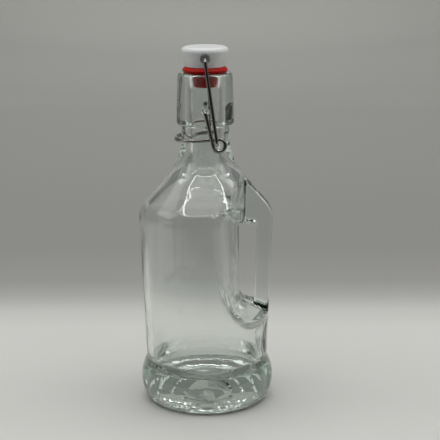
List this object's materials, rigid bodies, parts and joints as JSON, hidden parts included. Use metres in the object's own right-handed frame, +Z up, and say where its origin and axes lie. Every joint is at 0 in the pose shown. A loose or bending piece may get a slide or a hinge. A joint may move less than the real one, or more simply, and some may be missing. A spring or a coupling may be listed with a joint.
{
  "type": "growler",
  "caption": "Clear glass bottle with a carved-in finger handle, thick foot and collar, closed by a wire swing-top stopper with a rubber gasket.",
  "frame": {"origin": "centre of the circle the bottle stands on, at table level", "axes": "+Z up along the bottle's axis, +X towards the handle, Y along the closure's hinge axes"},
  "size_m": [0.082, 0.082, 0.2201],
  "materials": {
    "glass": "clear flint glass with a faint green cast, glossy",
    "lever_steel": "bright drawn steel wire",
    "yoke_steel": "bright drawn steel wire",
    "cap_plastic": "glossy white",
    "gasket_rubber": "satin brick red"
  },
  "bodies": {
    "bottle": {"bottle": "glass"},
    "lever": {"lever_wire": "lever_steel"},
    "yoke": {"yoke_wire": "yoke_steel"},
    "stopper": {"stopper_cap": "cap_plastic", "stopper_gasket": "gasket_rubber"}
  },
  "joints": [
    {"name": "lever_hinge", "type": "hinge", "parent": "bottle", "child": "lever", "pos_m": [0, 0, 0.1832], "axis": [0, 1, 0], "range_deg": [0, 90], "deforming": ["stopper_gasket"]},
    {"name": "yoke_hinge", "type": "hinge", "parent": "lever", "child": "yoke", "pos_m": [0.0071, 0, 0.164], "axis": [0, 1, 0], "range_deg": [-57, 0]},
    {"name": "stopper_hinge", "type": "hinge", "parent": "yoke", "child": "stopper", "pos_m": [0.0002, 0, 0.2139], "axis": [0, 1, 0], "range_deg": [-34, 0]}
  ],
  "couplings": [
    {"joint": "yoke_hinge", "follows": "lever_hinge", "ratio": -0.63},
    {"joint": "stopper_hinge", "follows": "lever_hinge", "ratio": -0.37}
  ]
}
